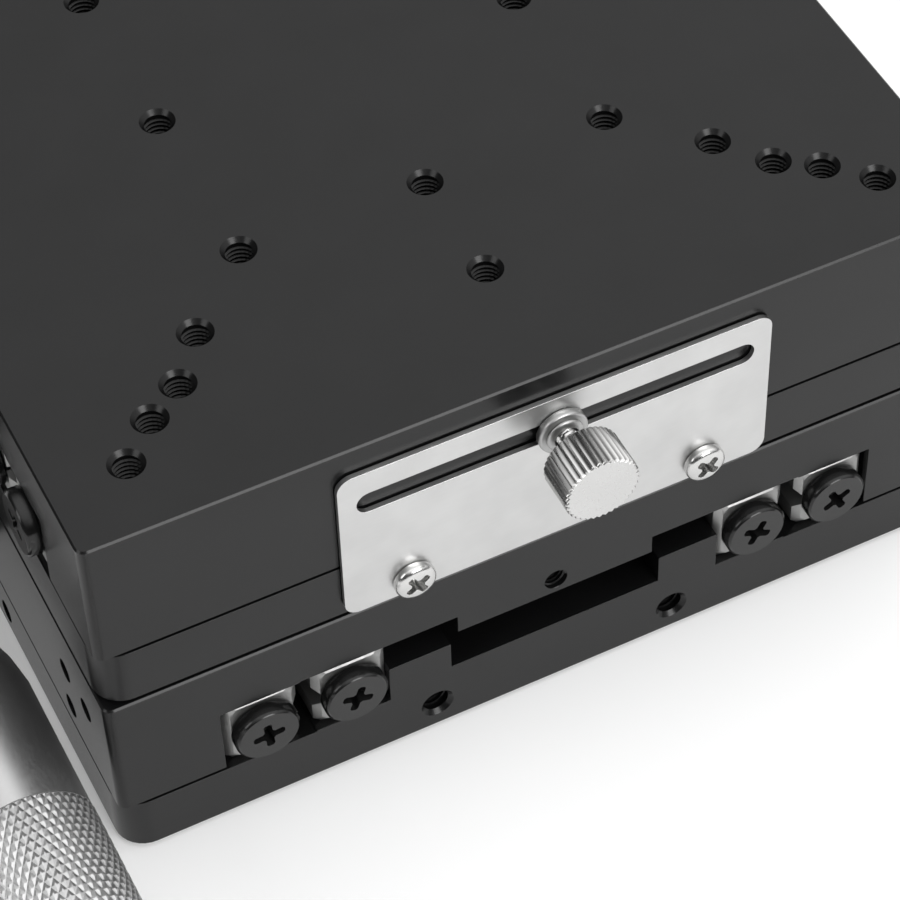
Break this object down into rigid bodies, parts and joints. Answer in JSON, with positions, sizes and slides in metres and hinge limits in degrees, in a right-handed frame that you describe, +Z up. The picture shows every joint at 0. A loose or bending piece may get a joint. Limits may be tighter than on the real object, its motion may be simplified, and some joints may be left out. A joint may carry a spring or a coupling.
{
  "type": "two-axis manual linear stage",
  "caption": "Two-axis manual crossed-roller stage: square black plates with tapped holes, moved in X and Y by micrometer heads and held by lock screws.",
  "frame": {"origin": "centre of the lower base's underside, with both axes at mid travel", "axes": "+Z up; the lower stage travels along Y, with its micrometer on the -X side; the upper stage travels along X, with its lock plate on the -Y side"},
  "size_m": [0.182, 0.1927, 0.06],
  "materials": {
    "black_anodised": "satin black anodised",
    "rail_steel": "ground",
    "black_screw": "black oxide",
    "cage_brass": "plain",
    "satin_chrome": "satin",
    "stainless_sheet": "fine matt",
    "bright_steel": "bright"
  },
  "bodies": {
    "base": {"lower_base": "black_anodised", "lower_inner_rail_left": "rail_steel", "lower_inner_rail_left_front_screw": "black_screw", "lower_inner_rail_left_rear_screw": "black_screw", "lower_inner_rail_right": "rail_steel", "lower_inner_rail_right_front_screw": "black_screw", "lower_inner_rail_right_rear_screw": "black_screw", "lower_bracket": "black_anodised", "lower_micrometer_barrel": "satin_chrome", "lower_lock_plate": "stainless_sheet", "lower_lock_plate_screw_front": "bright_steel", "lower_lock_plate_screw_rear": "bright_steel", "lower_return_spring": "bright_steel"},
    "middle": {"lower_table": "black_anodised", "lower_outer_rail_left": "rail_steel", "lower_outer_rail_left_front_screw": "black_screw", "lower_outer_rail_left_rear_screw": "black_screw", "lower_outer_rail_right": "rail_steel", "lower_outer_rail_right_front_screw": "black_screw", "lower_outer_rail_right_rear_screw": "black_screw", "lower_anvil_block": "black_anodised", "lower_lock_washer": "bright_steel", "lower_lock_spring_washer": "bright_steel", "upper_base": "black_anodised", "upper_inner_rail_left": "rail_steel", "upper_inner_rail_left_front_screw": "black_screw", "upper_inner_rail_left_rear_screw": "black_screw", "upper_inner_rail_right": "rail_steel", "upper_inner_rail_right_front_screw": "black_screw", "upper_inner_rail_right_rear_screw": "black_screw", "upper_bracket": "black_anodised", "upper_micrometer_barrel": "satin_chrome", "upper_lock_plate": "stainless_sheet", "upper_lock_plate_screw_front": "bright_steel", "upper_lock_plate_screw_rear": "bright_steel", "upper_return_spring": "bright_steel"},
    "top": {"upper_table": "black_anodised", "upper_outer_rail_left": "rail_steel", "upper_outer_rail_left_front_screw": "black_screw", "upper_outer_rail_left_rear_screw": "black_screw", "upper_outer_rail_right": "rail_steel", "upper_outer_rail_right_front_screw": "black_screw", "upper_outer_rail_right_rear_screw": "black_screw", "upper_anvil_block": "black_anodised", "upper_lock_washer": "bright_steel", "upper_lock_spring_washer": "bright_steel"},
    "y_roller_cages": {"lower_roller_cage_left": "cage_brass", "lower_roller_cage_right": "cage_brass"},
    "y_spindle": {"lower_spindle": "satin_chrome"},
    "y_thimble": {"lower_thimble": "satin_chrome", "lower_friction_cap": "satin_chrome"},
    "y_lock_stud": {"lower_lock_stud": "bright_steel"},
    "y_lock_knob": {"lower_lock_knob": "bright_steel"},
    "x_roller_cages": {"upper_roller_cage_left": "cage_brass", "upper_roller_cage_right": "cage_brass"},
    "x_spindle": {"upper_spindle": "satin_chrome"},
    "x_thimble": {"upper_thimble": "satin_chrome", "upper_friction_cap": "satin_chrome"},
    "x_lock_stud": {"upper_lock_stud": "bright_steel"},
    "x_lock_knob": {"upper_lock_knob": "bright_steel"}
  },
  "joints": [
    {"name": "y_travel", "type": "slide", "parent": "base", "child": "middle", "axis": [0, 1, 0], "range_m": [-0.025, 0.025], "deforming": ["lower_return_spring"]},
    {"name": "y_cage_travel", "type": "slide", "parent": "base", "child": "y_roller_cages", "axis": [0, 1, 0], "range_m": [-0.0125, 0.0125]},
    {"name": "y_spindle_travel", "type": "slide", "parent": "base", "child": "y_spindle", "axis": [0, 1, 0], "range_m": [-0.025, 0.025]},
    {"name": "y_thimble_turn", "type": "hinge", "parent": "y_spindle", "child": "y_thimble", "pos_m": [-0.07265, 0, 0.015], "axis": [0, 1, 0], "range_deg": [-18000, 18000]},
    {"name": "y_lock_travel", "type": "slide", "parent": "middle", "child": "y_lock_stud", "axis": [1, 0, 0], "range_m": [-0.0025, 0.001]},
    {"name": "y_lock_turn", "type": "hinge", "parent": "y_lock_stud", "child": "y_lock_knob", "pos_m": [0.064, 0, 0.0208], "axis": [1, 0, 0], "range_deg": [-1800, 720]},
    {"name": "x_travel", "type": "slide", "parent": "middle", "child": "top", "axis": [1, 0, 0], "range_m": [-0.025, 0.025], "deforming": ["upper_return_spring"]},
    {"name": "x_cage_travel", "type": "slide", "parent": "middle", "child": "x_roller_cages", "axis": [1, 0, 0], "range_m": [-0.0125, 0.0125]},
    {"name": "x_spindle_travel", "type": "slide", "parent": "middle", "child": "x_spindle", "axis": [1, 0, 0], "range_m": [-0.025, 0.025]},
    {"name": "x_thimble_turn", "type": "hinge", "parent": "x_spindle", "child": "x_thimble", "pos_m": [0, 0.07265, 0.04505], "axis": [1, 0, 0], "range_deg": [-18000, 18000]},
    {"name": "x_lock_travel", "type": "slide", "parent": "top", "child": "x_lock_stud", "axis": [0, -1, 0], "range_m": [-0.0025, 0.001]},
    {"name": "x_lock_turn", "type": "hinge", "parent": "x_lock_stud", "child": "x_lock_knob", "pos_m": [0, -0.064, 0.05085], "axis": [0, -1, 0], "range_deg": [-1800, 720]}
  ],
  "couplings": [
    {"joint": "y_thimble_turn", "follows": "y_travel", "rad_per_m": 12566},
    {"joint": "y_spindle_travel", "follows": "y_travel", "ratio": 1},
    {"joint": "y_cage_travel", "follows": "y_travel", "ratio": 0.5},
    {"joint": "y_lock_turn", "follows": "y_lock_travel", "rad_per_m": 12566},
    {"joint": "x_thimble_turn", "follows": "x_travel", "rad_per_m": 12566},
    {"joint": "x_spindle_travel", "follows": "x_travel", "ratio": 1},
    {"joint": "x_cage_travel", "follows": "x_travel", "ratio": 0.5},
    {"joint": "x_lock_turn", "follows": "x_lock_travel", "rad_per_m": 12566}
  ]
}
